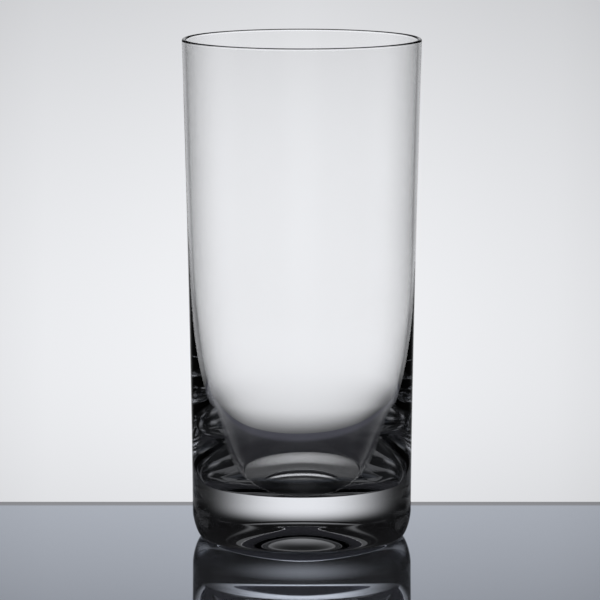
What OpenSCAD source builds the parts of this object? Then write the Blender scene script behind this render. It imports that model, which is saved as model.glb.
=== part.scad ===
// Highball glass: one piece of clear, colourless glass with a heavy solid base.
// Millimetres, +Z up. The origin is the middle of the foot, on the surface it stands on.
// The whole glass is one section, turned once round the Z axis.

/* [Body] */
// Height from the foot to the top of the lip
height = 150; // [125:1:180]
// Outer radius of the body where the heel begins
body_radius = 32.85; // [31:0.05:38]
// Outer radius at the lip
lip_radius = 35.8; // [33:0.05:42]
// How late the body widens on its way up: 1 is a straight cone
flare_power = 1.4; // [1:0.05:3]

/* [Wall] */
// Thickness of the wall at the lip
lip_wall = 1.3; // [0.9:0.1:2.4]
// Thickness of the wall at the shoulder of the bowl
shoulder_wall = 4.5; // [3:0.25:6]
// Height below which the wall begins to thicken
thickening_height = 96; // [70:1:120]
// How late the wall thickens on its way down: 1 is an even taper
thickening_power = 3.1; // [1:0.1:4]

/* [Bowl] */
// Height of the shoulder, where the wall turns in towards the floor of the bowl
shoulder_height = 42.5; // [36:0.5:60]
// Thickness of the solid base, up to the edge of the floor of the bowl
base_thickness = 15.4; // [8:0.1:22]
// Radius of the floor of the bowl
floor_radius = 18.7; // [12:0.1:20]
// How far the lower wall swells out between the shoulder and the floor
bend_swell = -0.6; // [-2:0.1:3]
// How far the middle of the floor stands above its edge
floor_rise = 1.6; // [0:0.1:3]
// Radius of the round between the floor and the wall
corner_radius = 1.2; // [0.5:0.1:4]
// Lean of the wall just above that round, in degrees from upright
corner_lean = 34.5; // [15:0.5:45]

/* [Foot] */
// Height of the rounded heel
heel_height = 8; // [4:0.25:10]
// How far the heel draws in to the ring that the glass stands on
heel_inset = 3; // [2:0.1:8]
// How full the heel is: 2 is a quarter of an ellipse, less is nearer a straight slope
heel_fullness = 1.6; // [1.2:0.1:3]
// Width of the flat ring that the glass stands on
ring_width = 3; // [1:0.1:12]
// Depth of the hollow inside the ring
hollow_depth = 6; // [0.5:0.1:7]

/* [Hidden] */

glass_colour = [0.86, 0.88, 0.9, 0.4];
turn_steps = 120;
heel_steps = 14;
body_steps = 20;
lip_steps = 10;
wall_steps = 24;
bend_steps = 18;
corner_steps = 6;
floor_steps = 8;
hollow_steps = 8;

ring_outer = body_radius - heel_inset;
ring_inner = ring_outer - ring_width;
lip_round = lip_wall / 2;
lip_centre_height = height - lip_round;
shoulder_radius = inner_radius(shoulder_height);
corner_radial = floor_radius + corner_radius * cos(corner_lean);
corner_height = base_thickness + corner_radius * (1 - sin(corner_lean));

// Outer radius at a height: a power curve from the heel to the lip.
function outer_radius(z) =
    body_radius + (lip_radius - body_radius)
        * pow(max(z - heel_height, 0) / (height - heel_height), flare_power);

// Wall thickness at a height: even at the top, thickening down to the shoulder.
function wall_at(z) =
    lip_wall + (shoulder_wall - lip_wall)
        * pow(max(thickening_height - z, 0) / (thickening_height - shoulder_height),
              thickening_power);

function inner_radius(z) = outer_radius(z) - wall_at(z);

// How fast the inner radius grows with height at the shoulder: the body's own flare
// there, and the taper of the wall.
function shoulder_slope() =
    (lip_radius - body_radius) * flare_power / (height - heel_height)
        * pow((shoulder_height - heel_height) / (height - heel_height), flare_power - 1)
    + (shoulder_wall - lip_wall) * thickening_power / (thickening_height - shoulder_height);

// Evenly spaced shares from 0 to 1, without the first one.
function shares(steps) = [for (i = [1:steps]) i / steps];

// The hollow under the base: a parabola from the axis out to the ring.
function hollow_points() = [
    for (s = concat([0], shares(hollow_steps))) [ring_inner * s, hollow_depth * (1 - s * s)]
];

// The heel: a quarter of a superellipse from the ring up to the body.
function heel_points() = [
    for (s = concat([0], shares(heel_steps)))
        [ring_outer + heel_inset * pow(sin(90 * s), 2 / heel_fullness),
         heel_height * (1 - pow(cos(90 * s), 2 / heel_fullness))]
];

function body_points() = [
    for (s = shares(body_steps))
        let (z = heel_height + (lip_centre_height - heel_height) * s) [outer_radius(z), z]
];

// The lip: half a circle over the top of the wall.
function lip_points() = [
    for (s = shares(lip_steps))
        [outer_radius(lip_centre_height) - lip_round * (1 - cos(180 * s)),
         lip_centre_height + lip_round * sin(180 * s)]
];

function wall_points() = [
    for (s = shares(wall_steps))
        let (z = lip_centre_height + (shoulder_height - lip_centre_height) * s)
            [inner_radius(z), z]
];

// The lower wall: a cubic curve that leaves the shoulder in line with the wall above
// and reaches the corner at that corner's lean, swelling out most halfway.
function bend_points() = [
    for (s = shares(bend_steps))
        let (u = 1 - s, rise = shoulder_height - corner_height)
            [corner_radial * (2 * pow(u, 3) - 3 * pow(u, 2) + 1)
             + rise * tan(corner_lean) * (pow(u, 3) - 2 * pow(u, 2) + u)
             + shoulder_radius * (3 * pow(u, 2) - 2 * pow(u, 3))
             + rise * shoulder_slope() * (pow(u, 3) - pow(u, 2))
             + bend_swell * pow(4 * u * (1 - u), 2),
             corner_height + rise * u]
];

// The round between the wall and the floor.
function corner_points() = [
    for (s = shares(corner_steps))
        let (a = (90 - corner_lean) * (1 - s))
            [floor_radius + corner_radius * sin(a),
             base_thickness + corner_radius * (1 - cos(a))]
];

// The floor: a low dome that lies level at its edge and at its middle.
function floor_points() = [
    for (s = shares(floor_steps))
        let (u = 1 - s)
            [floor_radius * u, base_thickness + floor_rise * pow(1 - u * u, 2)]
];

// The glass: base, wall and lip in one turned solid, open at the top.
module highball_glass() {
    color(glass_colour)
        rotate_extrude($fn = turn_steps)
            polygon(concat(
                hollow_points(), heel_points(), body_points(), lip_points(),
                wall_points(), bend_points(), corner_points(), floor_points()));
}

highball_glass();
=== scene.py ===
"""Highball glass: the looks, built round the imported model.

One turned shell of clear glass stands for the solid, on a glossy table top, in front of a
bright backdrop in a dark room, which is what draws the black edges in thick clear glass.
All lengths are in metres and all angles in radians, unless a name says otherwise.
"""

import logging
import math
from dataclasses import dataclass, field
from enum import Enum
from typing import Any, Union

import bpy
import numpy as np
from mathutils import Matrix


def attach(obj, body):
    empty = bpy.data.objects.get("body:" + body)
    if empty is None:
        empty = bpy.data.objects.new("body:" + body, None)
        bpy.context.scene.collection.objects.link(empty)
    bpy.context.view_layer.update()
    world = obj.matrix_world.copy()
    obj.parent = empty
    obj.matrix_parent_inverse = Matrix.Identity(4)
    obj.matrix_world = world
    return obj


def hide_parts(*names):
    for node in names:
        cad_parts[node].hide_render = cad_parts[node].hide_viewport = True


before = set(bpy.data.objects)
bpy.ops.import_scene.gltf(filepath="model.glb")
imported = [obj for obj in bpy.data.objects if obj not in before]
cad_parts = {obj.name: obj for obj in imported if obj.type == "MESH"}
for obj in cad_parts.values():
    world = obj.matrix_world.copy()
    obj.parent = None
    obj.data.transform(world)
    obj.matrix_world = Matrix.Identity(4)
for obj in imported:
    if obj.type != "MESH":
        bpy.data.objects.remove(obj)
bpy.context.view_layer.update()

logging.basicConfig(level=logging.INFO, format="%(message)s")
log = logging.getLogger("highball_glass")

MM = 0.001
NODE = "highball_glass"


class Side(Enum):
    """Where a dim patch hangs, besides the bright one behind the glass."""

    RIGHT = (1.0, 0.0)
    FRONT = (0.0, -1.0)
    LEFT = (-1.0, 0.0)


class Signal:
    """A number carried by a shader socket, so that node maths reads as an expression."""

    def __init__(self, bench: "NodeBench", socket: bpy.types.NodeSocket) -> None:
        """Wraps one output socket of the bench's node tree."""
        self.bench = bench
        self.socket = socket

    def _maths(self, operation: str, *values: Union["Signal", float]) -> "Signal":
        """Adds one Math node.

        Args:
            operation: the node's operation.
            values: what goes into its sockets, in order.

        Returns:
            The node's result.
        """
        node = self.bench.add("ShaderNodeMath", {"operation": operation}, dict(enumerate(values)))
        return Signal(self.bench, node.outputs[0])

    def __add__(self, other: Union["Signal", float]) -> "Signal":
        """Sum."""
        return self._maths("ADD", self, other)

    def __radd__(self, other: float) -> "Signal":
        """Sum, with the number first."""
        return self._maths("ADD", other, self)

    def __sub__(self, other: Union["Signal", float]) -> "Signal":
        """Difference."""
        return self._maths("SUBTRACT", self, other)

    def __rsub__(self, other: float) -> "Signal":
        """Difference, with the number first."""
        return self._maths("SUBTRACT", other, self)

    def __mul__(self, other: Union["Signal", float]) -> "Signal":
        """Product."""
        return self._maths("MULTIPLY", self, other)

    def __rmul__(self, other: float) -> "Signal":
        """Product, with the number first."""
        return self._maths("MULTIPLY", other, self)

    def exp(self) -> "Signal":
        """e to the power of this number."""
        return self._maths("EXPONENT", self)

    def largest(self, other: Union["Signal", float]) -> "Signal":
        """The larger of two numbers."""
        return self._maths("MAXIMUM", self, other)

    def power(self, other: float) -> "Signal":
        """This number to a power."""
        return self._maths("POWER", self, other)


class NodeBench:
    """Builds the nodes of one material or world."""

    def __init__(self, tree: bpy.types.NodeTree) -> None:
        """Clears the tree, so that nothing is left of Blender's default nodes."""
        self.tree = tree
        tree.nodes.clear()

    def add(self, kind: str, settings: dict[str, Any], sockets: dict[Any, Any]) -> bpy.types.Node:
        """Adds any node.

        Args:
            kind: the node's Blender type.
            settings: attributes such as an operation or a data type, set first.
            sockets: input name or number to a value, a Signal or an output socket.

        Returns:
            The new node.
        """
        node = self.tree.nodes.new(kind)
        for name, value in settings.items():
            setattr(node, name, value)
        for name, value in sockets.items():
            if isinstance(value, Signal):
                value = value.socket
            if isinstance(value, bpy.types.NodeSocket):
                self.tree.links.new(value, node.inputs[name])
            else:
                node.inputs[name].default_value = value
        return node

    def signal(self, node: bpy.types.Node, output: str) -> Signal:
        """Wraps one of a node's outputs as a number."""
        return Signal(self, node.outputs[output])

    def dot(self, vector: bpy.types.NodeSocket, axis: tuple[float, float, float]) -> Signal:
        """Length of a vector along a fixed axis."""
        node = self.add("ShaderNodeVectorMath", {"operation": "DOT_PRODUCT"}, {0: vector, 1: axis})
        return self.signal(node, "Value")

    def ramp(self, value: Signal, start: float, stop: float) -> Signal:
        """Number that rises smoothly from 0 to 1 while value goes from start to stop."""
        node = self.add(
            "ShaderNodeMapRange",
            {"interpolation_type": "SMOOTHSTEP"},
            {"Value": value, "From Min": start, "From Max": stop},
        )
        return self.signal(node, "Result")

    def tint(self, factor: Signal, low: tuple, high: tuple) -> bpy.types.NodeSocket:
        """Colour that runs from low to high with a number from 0 to 1."""
        mix = self.add(
            "ShaderNodeMix", {"data_type": "RGBA"}, {"Factor": factor, 6: low, 7: high}
        )
        return mix.outputs[2]

    def scaled(self, colour: tuple, share: Signal) -> bpy.types.NodeSocket:
        """Colour times a number."""
        node = self.add(
            "ShaderNodeVectorMath", {"operation": "SCALE"}, {0: colour[:3], "Scale": share}
        )
        return node.outputs[0]


@dataclass(frozen=True)
class ClearGlass:
    """Colourless, fire-polished glass with the faint ripple that a mould leaves."""

    index: float = 1.515
    colour: tuple = (1.0, 1.0, 1.0, 1.0)
    roughness: float = 0.0
    depth_colour: tuple = (0.95, 0.953, 0.96, 1.0)
    depth_density: float = 46.0
    ripple_scale: float = 55.0
    ripple_detail: float = 1.5
    ripple_stretch: tuple = (1.0, 1.0, 0.45)
    ripple_height: float = 0.03 * MM
    ripple_strength: float = 1.0

    def material(self) -> bpy.types.Material:
        """Builds the glass's material.

        Returns:
            The finished material.
        """
        made = bpy.data.materials.new("clear_glass")
        made.use_nodes = True
        bench = NodeBench(made.node_tree)
        place = bench.add("ShaderNodeTexCoord", {}, {}).outputs["Object"]
        drawn = bench.add(
            "ShaderNodeVectorMath", {"operation": "MULTIPLY"}, {0: place, 1: self.ripple_stretch}
        )
        ripple = bench.add(
            "ShaderNodeTexNoise",
            {},
            {
                "Vector": drawn.outputs[0],
                "Scale": self.ripple_scale,
                "Detail": self.ripple_detail,
            },
        )
        bump = bench.add(
            "ShaderNodeBump",
            {},
            {
                "Height": ripple.outputs["Fac"],
                "Strength": self.ripple_strength,
                "Distance": self.ripple_height,
            },
        )
        glass = bench.add(
            "ShaderNodeBsdfPrincipled",
            {},
            {
                "Base Color": self.colour,
                "Roughness": self.roughness,
                "IOR": self.index,
                "Transmission Weight": 1.0,
                "Normal": bump.outputs[0],
            },
        )
        depth = bench.add(
            "ShaderNodeVolumeAbsorption",
            {},
            {"Color": self.depth_colour, "Density": self.depth_density},
        )
        bench.add(
            "ShaderNodeOutputMaterial",
            {},
            {"Surface": glass.outputs[0], "Volume": depth.outputs[0]},
        )
        return made


def ease(count: int) -> np.ndarray:
    """Shares from 0 to 1 that lie close together at both ends.

    The share at step k of n is half of one less the cosine of pi k / n.

    Args:
        count: how many shares there are.

    Returns:
        The shares in order.
    """
    return (1 - np.cos(math.pi * np.linspace(0, 1, count))) / 2


@dataclass
class GlassSection:
    """The section that the glass is turned from, in the same sizes as its solid."""

    height: float = 150 * MM
    body_radius: float = 32.85 * MM
    lip_radius: float = 35.8 * MM
    flare_power: float = 1.4
    lip_wall: float = 1.3 * MM
    shoulder_wall: float = 4.5 * MM
    thickening_height: float = 96 * MM
    thickening_power: float = 3.1
    shoulder_height: float = 42.5 * MM
    base_thickness: float = 15.4 * MM
    floor_radius: float = 18.7 * MM
    floor_rise: float = 1.6 * MM
    corner_radius: float = 1.2 * MM
    corner_lean: float = math.radians(34.5)
    bend_swell: float = -0.6 * MM
    heel_height: float = 8 * MM
    heel_inset: float = 3 * MM
    heel_fullness: float = 1.6
    ring_width: float = 3 * MM
    hollow_depth: float = 6 * MM
    sway: float = 0.3 * MM
    sway_low: tuple = (18 * MM, 42 * MM)
    sway_high: tuple = (60 * MM, 105 * MM)
    hollow_steps: int = 24
    heel_steps: int = 48
    wall_steps: int = 60
    lip_steps: int = 17
    bend_steps: int = 60
    corner_steps: int = 18
    floor_steps: int = 24

    @property
    def lip_centre(self) -> float:
        """Height of the middle of the lip's half circle."""
        return self.height - self.lip_wall / 2

    def outer_radius(self, z: np.ndarray) -> np.ndarray:
        """Outer radius at each height: a power curve from the heel to the lip."""
        share = np.maximum(z - self.heel_height, 0) / (self.height - self.heel_height)
        return self.body_radius + (self.lip_radius - self.body_radius) * share**self.flare_power

    def wall_at(self, z: np.ndarray) -> np.ndarray:
        """Wall thickness at each height: even above, thickening down to the shoulder."""
        drop = np.maximum(self.thickening_height - z, 0)
        share = drop / (self.thickening_height - self.shoulder_height)
        return self.lip_wall + (self.shoulder_wall - self.lip_wall) * share**self.thickening_power

    def inner_radius(self, z: np.ndarray) -> np.ndarray:
        """Inner radius at each height, from the shoulder up."""
        return self.outer_radius(z) - self.wall_at(z)

    def shoulder_slope(self) -> float:
        """How fast the inner radius grows with height at the shoulder."""
        span = self.height - self.heel_height
        share = (self.shoulder_height - self.heel_height) / span
        flare = (self.lip_radius - self.body_radius) * self.flare_power / span
        taper = (self.shoulder_wall - self.lip_wall) * self.thickening_power
        return flare * share ** (self.flare_power - 1) + taper / (
            self.thickening_height - self.shoulder_height
        )

    def sway_at(self, z: np.ndarray) -> np.ndarray:
        """How far the inner wall stands to one side at each height: most at the middle."""
        low, high = self.sway_low, self.sway_high
        up = np.clip((z - low[0]) / (low[1] - low[0]), 0, 1)
        down = np.clip((high[1] - z) / (high[1] - high[0]), 0, 1)
        return self.sway * up * up * (3 - 2 * up) * down * down * (3 - 2 * down)

    def underside(self) -> np.ndarray:
        """Hollow, ring and heel: a parabola, a flat and a quarter of a superellipse."""
        ring_outer = self.body_radius - self.heel_inset
        ring_inner = ring_outer - self.ring_width
        s = np.linspace(0, 1, self.hollow_steps)
        hollow = np.stack([ring_inner * s, self.hollow_depth * (1 - s * s)], 1)
        a = np.linspace(0, math.pi / 2, self.heel_steps)
        bend = 2 / self.heel_fullness
        heel = np.stack(
            [
                ring_outer + self.heel_inset * np.sin(a) ** bend,
                self.heel_height * (1 - np.abs(np.cos(a)) ** bend),
            ],
            1,
        )
        return np.concatenate([hollow, heel])

    def outside_and_lip(self) -> np.ndarray:
        """The outer wall, and half a circle over the top of it."""
        lip_round = self.lip_wall / 2
        z = self.heel_height + (self.lip_centre - self.heel_height) * ease(self.wall_steps)[1:]
        body = np.stack([self.outer_radius(z), z], 1)
        a = np.linspace(0, math.pi, self.lip_steps)[1:]
        lip = np.stack(
            [
                self.outer_radius(np.array(self.lip_centre)) - lip_round * (1 - np.cos(a)),
                self.lip_centre + lip_round * np.sin(a),
            ],
            1,
        )
        return np.concatenate([body, lip])

    def inside(self) -> np.ndarray:
        """The inner wall, the cubic bend below it, the round and the domed floor."""
        z = self.lip_centre + (self.shoulder_height - self.lip_centre) * ease(self.wall_steps)[1:]
        wall = np.stack([self.inner_radius(z), z], 1)
        lean = self.corner_lean
        foot_r = self.floor_radius + self.corner_radius * math.cos(lean)
        foot_z = self.base_thickness + self.corner_radius * (1 - math.sin(lean))
        rise = self.shoulder_height - foot_z
        u = np.linspace(1, 0, self.bend_steps)[1:]
        radius = (
            foot_r * (2 * u**3 - 3 * u**2 + 1)
            + rise * math.tan(lean) * (u**3 - 2 * u**2 + u)
            + wall[-1, 0] * (3 * u**2 - 2 * u**3)
            + rise * self.shoulder_slope() * (u**3 - u**2)
            + self.bend_swell * (4 * u * (1 - u)) ** 2
        )
        bend = np.stack([radius, foot_z + rise * u], 1)
        a = (math.pi / 2 - lean) * np.linspace(1, 0, self.corner_steps)[1:]
        corner = np.stack(
            [
                self.floor_radius + self.corner_radius * np.sin(a),
                self.base_thickness + self.corner_radius * (1 - np.cos(a)),
            ],
            1,
        )
        v = np.linspace(1, 0, self.floor_steps)[1:]
        floor = np.stack(
            [self.floor_radius * v, self.base_thickness + self.floor_rise * (1 - v * v) ** 2], 1
        )
        return np.concatenate([wall, bend, corner, floor])

    def outline(self) -> np.ndarray:
        """The whole half section, from the axis underneath round to the axis inside.

        Returns:
            One row a point: its radius, its height, and how far its ring is moved along X.
        """
        outside = np.concatenate([self.underside(), self.outside_and_lip()])
        inside = self.inside()
        points = np.concatenate([outside, inside])
        moved = np.concatenate([np.zeros(len(outside)), self.sway_at(inside[:, 1])])
        return np.column_stack([points, moved])


@dataclass
class HighballGlass:
    """The glass: one closed shell, turned from its section."""

    section: GlassSection = field(default_factory=GlassSection)
    finish: ClearGlass = field(default_factory=ClearGlass)
    turn_steps: int = 256

    def mesh(self) -> bpy.types.Mesh:
        """Turns the section round the Z axis.

        A point at share t of a turn and step s of the section lies at radius r(s), height
        z(s) and angle 2 pi t, moved along X by m(s). The two ends of the section are single
        points on the axis.

        Returns:
            The closed mesh, facing outwards.
        """
        outline = self.section.outline()
        ends, rings = outline[[0, -1]], outline[1:-1]
        angle = np.linspace(0, 2 * math.pi, self.turn_steps, endpoint=False)
        grid = np.stack(
            [
                rings[:, :1] * np.cos(angle) + rings[:, 2:],
                rings[:, :1] * np.sin(angle),
                np.repeat(rings[:, 1:2], self.turn_steps, axis=1),
            ],
            2,
        )
        poles = np.stack([np.zeros(2), np.zeros(2), ends[:, 1]], 1)
        points = np.concatenate([grid.reshape(-1, 3), poles])
        ring_count, steps = len(rings), self.turn_steps
        here = np.arange(steps)
        after = (here + 1) % steps
        low = np.arange(ring_count - 1)[:, None] * steps
        quads = np.stack(
            [low + here, low + after, low + steps + after, low + steps + here], 2
        ).reshape(-1, 4)
        bottom, top = ring_count * steps, ring_count * steps + 1
        last = (ring_count - 1) * steps
        under = np.stack([after, here, np.full(steps, bottom)], 1)
        floor = np.stack([last + here, last + after, np.full(steps, top)], 1)
        mesh = bpy.data.meshes.new("highball_glass_shell")
        mesh.from_pydata(points.tolist(), [], quads.tolist() + under.tolist() + floor.tolist())
        mesh.polygons.foreach_set("use_smooth", np.ones(len(mesh.polygons), dtype=bool))
        mesh.update()
        return mesh

    def build(self) -> bpy.types.Object:
        """Makes the glass and puts it in the place of its solid.

        Returns:
            The glass's object.
        """
        shell = bpy.data.objects.new("highball_glass_shell", self.mesh())
        bpy.context.scene.collection.objects.link(shell)
        shell.data.materials.append(self.finish.material())
        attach(shell, "root")
        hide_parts(NODE)
        log.info("glass: %d points, %d faces", len(shell.data.vertices), len(shell.data.polygons))
        return shell


@dataclass(frozen=True)
class TableFinish:
    """Glossy blue-grey sheet, a mirror at a low angle and plain grey from above, with a painted
    shadow round the glass that camera rays don't see.
    """

    colour: tuple = (0.34, 0.345, 0.37, 1.0)
    edge_colour: tuple = (0.1, 0.1, 0.12, 1.0)
    # Painted shadow round the glass: the sheet turns this dark colour near the axis and fades back
    # to its own colour further out.
    painted_shadow_colour: tuple = (0.03, 0.03, 0.034, 1.0)
    painted_shadow_within: float = 0.045
    painted_shadow_until: float = 0.11
    matt_roughness: float = 0.6
    mirror_colour: tuple = (0.5, 0.565, 0.68, 1.0)
    mirror_roughness: float = 0.02
    lean_blend: float = 0.5
    least_mirror: float = 0.04
    most_mirror: float = 0.97
    mirror_from: float = 0.55
    mirror_to: float = 0.82

    def material(self, back_edge: float, edge_band: float) -> bpy.types.Material:
        """Builds the sheet's material, darker along its back edge and with a painted shadow round
        the glass.

        Args:
            back_edge: where the sheet ends, along Y.
            edge_band: width of the darker band there.

        Returns:
            The finished material.
        """
        made = bpy.data.materials.new("table_sheet")
        made.use_nodes = True
        bench = NodeBench(made.node_tree)
        place = bench.add("ShaderNodeTexCoord", {}, {}).outputs["Object"]
        depth = bench.dot(place, (0.0, 1.0, 0.0))
        near_edge = bench.ramp(depth, back_edge - edge_band, back_edge - edge_band / 2)
        # Painted shadow: near the glass's axis the sheet's colour turns dark for every ray but
        # camera rays, standing in for the glass's shadow on the table.
        away = bench.add("ShaderNodeVectorMath", {"operation": "LENGTH"}, {0: place})
        beyond_painted_shadow = bench.ramp(bench.signal(away, "Value"), self.painted_shadow_within, self.painted_shadow_until)
        ray = bench.add("ShaderNodeLightPath", {}, {})
        beyond_painted_shadow = beyond_painted_shadow.largest(bench.signal(ray, "Is Camera Ray"))
        plain = bench.tint(beyond_painted_shadow, self.painted_shadow_colour, self.colour)
        sheet = bench.add(
            "ShaderNodeBsdfPrincipled",
            {},
            {
                "Base Color": bench.tint(near_edge, plain, self.edge_colour),
                "Roughness": self.matt_roughness,
                "Specular IOR Level": 0.0,
            },
        )
        mirror = bench.add(
            "ShaderNodeBsdfPrincipled",
            {},
            {
                "Base Color": bench.tint(near_edge, self.mirror_colour, self.edge_colour),
                "Metallic": 1.0,
                "Roughness": self.mirror_roughness,
            },
        )
        lean = bench.add("ShaderNodeLayerWeight", {}, {"Blend": self.lean_blend})
        lowness = bench.ramp(bench.signal(lean, "Facing"), self.mirror_from, self.mirror_to)
        share = lowness * (self.most_mirror - self.least_mirror) + self.least_mirror
        both = bench.add(
            "ShaderNodeMixShader",
            {},
            {"Fac": share, 1: sheet.outputs[0], 2: mirror.outputs[0]},
        )
        bench.add("ShaderNodeOutputMaterial", {}, {"Surface": both.outputs[0]})
        return made


@dataclass(frozen=True)
class BackdropGlow:
    """Light on the surround: a bright patch behind the glass and dimmer ones round it.

    A patch is a bell curve of the turn from its middle and of the height from its middle, and
    heights are in radii of the surround. The bright patch ends low, as a lit card does, and is
    wider through the glass than straight on, because thick glass bends in light from far to
    the sides. The table mirrors a dimmer patch that stands higher. The ones at the sides, low
    at the corners and above show through the glass, so that it stays clear from every side
    while its surface mirrors a dark room.
    """

    peak: float = 0.941
    middle_turn_degrees: float = 0.4
    middle_height: float = -0.1265
    plain_power: float = 2.0
    seen_turn_spread_degrees: float = 8.2
    seen_rise_spread: float = 0.1275
    seen_fall_spread: float = 0.0854
    turn_spread_degrees: float = 20.5
    turn_power: float = 2.6
    rise_spread: float = 0.105
    rise_power: float = 3.3
    fall_spread: float = 0.342
    fall_power: float = 5.0
    mirrored_share: float = 0.71
    mirrored_height: float = 0.14
    mirrored_spread: float = 0.058
    mirrored_from: float = 0.0
    mirrored_to: float = 0.08
    upper_share: float = 0.26
    upper_height: float = 0.3
    upper_spread: float = 0.05
    upper_turn_degrees: float = 13.0
    beside_share: float = 0.2
    beside_height: float = 0.0
    beside_spread: float = 0.12
    beside_turn_degrees: float = 16.0
    beside_power: float = 4.0
    corner_share: float = 0.17
    corner_height: float = -0.39
    corner_spread: float = 0.11
    pale: float = 0.32
    dark: float = 0.006
    tint: tuple = (0.962, 0.972, 1.0, 1.0)

    def bell(self, height: Signal, rise: tuple[float, float], fall: tuple[float, float]) -> Signal:
        """Curve of height: a bell with one spread and power above its middle, another below."""
        above = (height - self.middle_height).largest(0.0) * (1 / rise[0])
        below = (self.middle_height - height).largest(0.0) * (1 / fall[0])
        return ((above.power(rise[1]) + below.power(fall[1])) * -0.5).exp()

    def band(self, height: Signal, middle: float, spread: float) -> Signal:
        """Curve of height: the same plain bell above and below its middle."""
        away = (height - middle) * (1 / spread)
        return (away * away * -0.5).exp()

    def lobe(self, facing: Signal, spread_degrees: float, power: float) -> Signal:
        """Curve of turn, from the cosine of the turn: a bell with its own spread and power."""
        turn_squared = ((1.0 - facing) * 2.0).largest(0.0)
        share = turn_squared.power(power / 2) * math.radians(spread_degrees) ** -power
        return (share * -0.5).exp()

    def ring_of(self, facings: list[Signal]) -> Signal:
        """Sum of one dim lobe for each way that it faces."""
        lobes = [self.lobe(each, self.beside_turn_degrees, self.beside_power) for each in facings]
        total = lobes[0]
        for each in lobes[1:]:
            total = total + each
        return total

    def seen(self, facing: Signal, height: Signal) -> Signal:
        """The bright patch as it is seen straight on."""
        turned = self.lobe(facing, self.seen_turn_spread_degrees, self.plain_power)
        return turned * self.peak * self.bell(
            height,
            (self.seen_rise_spread, self.plain_power),
            (self.seen_fall_spread, self.plain_power),
        )

    def through(self, facing: Signal, height: Signal) -> Signal:
        """The bright patch and the one above it, as they show through the glass."""
        lit = self.lobe(facing, self.turn_spread_degrees, self.turn_power) * self.bell(
            height, (self.rise_spread, self.rise_power), (self.fall_spread, self.fall_power)
        )
        upper = self.lobe(facing, self.upper_turn_degrees, self.plain_power)
        upper = upper * self.band(height, self.upper_height, self.upper_spread)
        return lit + upper * self.upper_share

    def material(self, radius: float, table_light: float) -> bpy.types.Material:
        """Builds the surround's material, which lights only inwards.

        Args:
            radius: the surround's radius.
            table_light: what matt things see of the surround.

        Returns:
            The finished material.
        """
        made = bpy.data.materials.new("lit_surround")
        made.use_nodes = True
        made.cycles.emission_sampling = "NONE"
        bench = NodeBench(made.node_tree)
        place = bench.add("ShaderNodeTexCoord", {}, {}).outputs["Object"]
        height = bench.dot(place, (0.0, 0.0, 1 / radius))
        slew = math.radians(self.middle_turn_degrees)
        facing = bench.dot(place, (-math.sin(slew) / radius, math.cos(slew) / radius, 0.0))
        ways = [side.value for side in Side]
        sides = [bench.dot(place, (x / radius, y / radius, 0.0)) for x, y in ways]
        beside = self.ring_of(sides) * self.band(height, self.beside_height, self.beside_spread)
        beside = beside * self.beside_share
        slant = math.sqrt(0.5) / radius
        slants = [bench.dot(place, (x * slant, y * slant, 0.0)) for x in (1, -1) for y in (1, -1)]
        corners = self.ring_of(slants) * self.band(height, self.corner_height, self.corner_spread)
        seen = self.seen(facing, height)
        above = bench.ramp(height, self.mirrored_from, self.mirrored_to)
        behind = self.lobe(facing, self.seen_turn_spread_degrees, self.plain_power)
        mirrored = behind * self.band(height, self.mirrored_height, self.mirrored_spread)
        mirrored = (mirrored * self.mirrored_share + beside) * above + seen * (1.0 - above)
        through = self.through(facing, height) + beside + corners * self.corner_share
        ray = bench.add("ShaderNodeLightPath", {}, {})
        by_camera = bench.signal(ray, "Is Camera Ray")
        by_matt = bench.signal(ray, "Is Diffuse Ray")
        by_glass = bench.signal(ray, "Is Transmission Ray")
        room = through * by_glass + mirrored * (1.0 - by_glass) + self.dark
        rest = 1.0 - by_camera - by_matt
        light = room * rest + seen.largest(self.pale) * by_camera + by_matt * table_light
        glow = bench.add("ShaderNodeEmission", {}, {"Color": bench.scaled(self.tint, light)})
        clear = bench.add("ShaderNodeBsdfTransparent", {}, {})
        turned = bench.add("ShaderNodeNewGeometry", {}, {})
        both = bench.add(
            "ShaderNodeMixShader",
            {},
            {"Fac": turned.outputs["Backfacing"], 1: glow.outputs[0], 2: clear.outputs[0]},
        )
        bench.add("ShaderNodeOutputMaterial", {}, {"Surface": both.outputs[0]})
        return made


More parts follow.
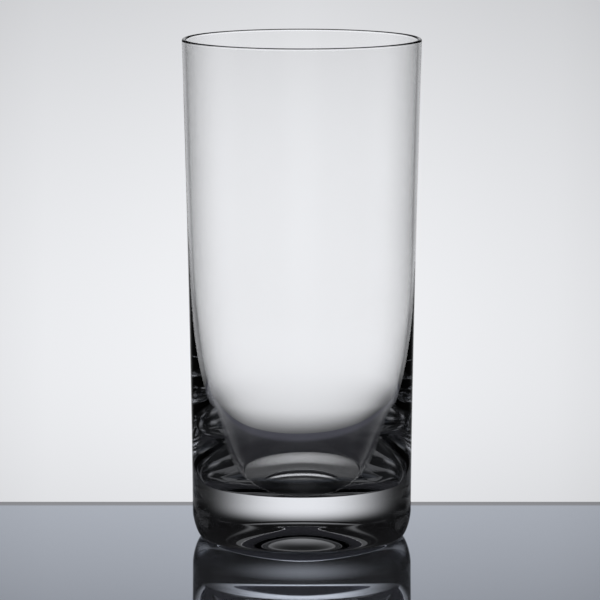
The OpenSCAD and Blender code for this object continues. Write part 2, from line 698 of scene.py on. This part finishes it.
@dataclass
class Studio:
    """The table top, the round lit surround and the camera."""

    table_half_width: float = 0.9
    table_front: float = -0.9
    table_back: float = 0.0602
    table_thickness: float = 0.012
    edge_band: float = 0.009
    table_finish: TableFinish = field(default_factory=TableFinish)

    surround_radius: float = 4.0
    surround_low: float = -4.0
    surround_high: float = 2.6
    surround_steps: int = 96
    glow: BackdropGlow = field(default_factory=BackdropGlow)

    camera_distance: float = 1.645
    camera_height: float = 0.2883
    camera_aside: float = -0.00054
    camera_dip_degrees: float = 7.51
    camera_view_degrees: float = 6.2
    sensor_width: float = 36.0

    room_glow: float = 0.006
    overhead_glow: float = 0.09
    table_light: float = 0.95
    glass_bounces: int = 32
    mirror_bounces: int = 12

    def table(self) -> bpy.types.Object:
        """Makes the table top as one slab, whose upper face is at height 0.

        Returns:
            The slab.
        """
        x, front, back, low = (
            self.table_half_width,
            self.table_front,
            self.table_back,
            -self.table_thickness,
        )
        corners = np.array(
            [[i, j, k] for k in (low, 0.0) for j in (front, back) for i in (-x, x)]
        )
        faces = [(0, 2, 3, 1), (4, 5, 7, 6), (0, 1, 5, 4), (2, 6, 7, 3), (0, 4, 6, 2), (1, 3, 7, 5)]
        mesh = bpy.data.meshes.new("table_top")
        mesh.from_pydata(corners.tolist(), [], faces)
        slab = bpy.data.objects.new("table_top", mesh)
        bpy.context.scene.collection.objects.link(slab)
        slab.data.materials.append(self.table_finish.material(self.table_back, self.edge_band))
        return slab

    def surround(self) -> bpy.types.Object:
        """Makes the upright round wall whose inner face is lit.

        A point at share t of a turn lies at angle 2 pi t on the wall's radius, once at the
        wall's foot and once at its top; the faces look towards the axis.

        Returns:
            The wall.
        """
        angle = np.linspace(0, 2 * math.pi, self.surround_steps, endpoint=False)
        ring = np.stack([np.cos(angle), np.sin(angle)], 1) * self.surround_radius
        low = np.column_stack([ring, np.full(self.surround_steps, self.surround_low)])
        high = np.column_stack([ring, np.full(self.surround_steps, self.surround_high)])
        here = np.arange(self.surround_steps)
        after = (here + 1) % self.surround_steps
        above = self.surround_steps
        faces = np.stack([here, above + here, above + after, after], 1)
        mesh = bpy.data.meshes.new("lit_surround")
        mesh.from_pydata(np.concatenate([low, high]).tolist(), [], faces.tolist())
        wall = bpy.data.objects.new("lit_surround", mesh)
        bpy.context.scene.collection.objects.link(wall)
        wall.data.materials.append(self.glow.material(self.surround_radius, self.table_light))
        return wall

    def world(self) -> bpy.types.World:
        """Makes the room beyond the surround, dark but for a dim glow through the glass.

        Returns:
            The scene's world.
        """
        made = bpy.data.worlds.new("studio")
        made.use_nodes = True
        made.cycles.sampling_method = "NONE"
        bench = NodeBench(made.node_tree)
        ray = bench.add("ShaderNodeLightPath", {}, {})
        by_camera = bench.signal(ray, "Is Camera Ray")
        by_matt = bench.signal(ray, "Is Diffuse Ray")
        by_glass = bench.signal(ray, "Is Transmission Ray")
        light = by_matt * self.table_light + by_camera * self.glow.pale + self.room_glow
        light = light + by_glass * self.overhead_glow
        background = bench.add(
            "ShaderNodeBackground", {}, {"Color": bench.scaled(self.glow.tint, light)}
        )
        bench.add("ShaderNodeOutputWorld", {}, {"Surface": background.outputs[0]})
        bpy.context.scene.world = made
        return made

    def camera(self) -> bpy.types.Object:
        """Makes the camera at the photograph's viewing angle.

        Returns:
            The scene's camera.
        """
        lens = bpy.data.cameras.new("camera")
        lens.sensor_width = self.sensor_width
        lens.lens = lens.sensor_width / 2 / math.tan(math.radians(self.camera_view_degrees) / 2)
        camera = bpy.data.objects.new("camera", lens)
        camera.location = (self.camera_aside, -self.camera_distance, self.camera_height)
        camera.rotation_euler = (math.radians(90 - self.camera_dip_degrees), 0.0, 0.0)
        bpy.context.scene.collection.objects.link(camera)
        bpy.context.scene.camera = camera
        return camera

    def build(self) -> None:
        """Makes the whole studio and sets the plain view transform."""
        self.table()
        self.surround()
        self.world()
        self.camera()
        scene = bpy.context.scene
        scene.view_settings.view_transform = "Standard"
        scene.cycles.max_bounces = self.glass_bounces
        scene.cycles.transmission_bounces = self.glass_bounces
        scene.cycles.glossy_bounces = self.mirror_bounces
        log.info("studio: table top, surround and camera")


def main() -> None:
    """Builds the glass, then the studio round it."""
    HighballGlass().build()
    Studio().build()


if __name__ == "__main__":
    main()
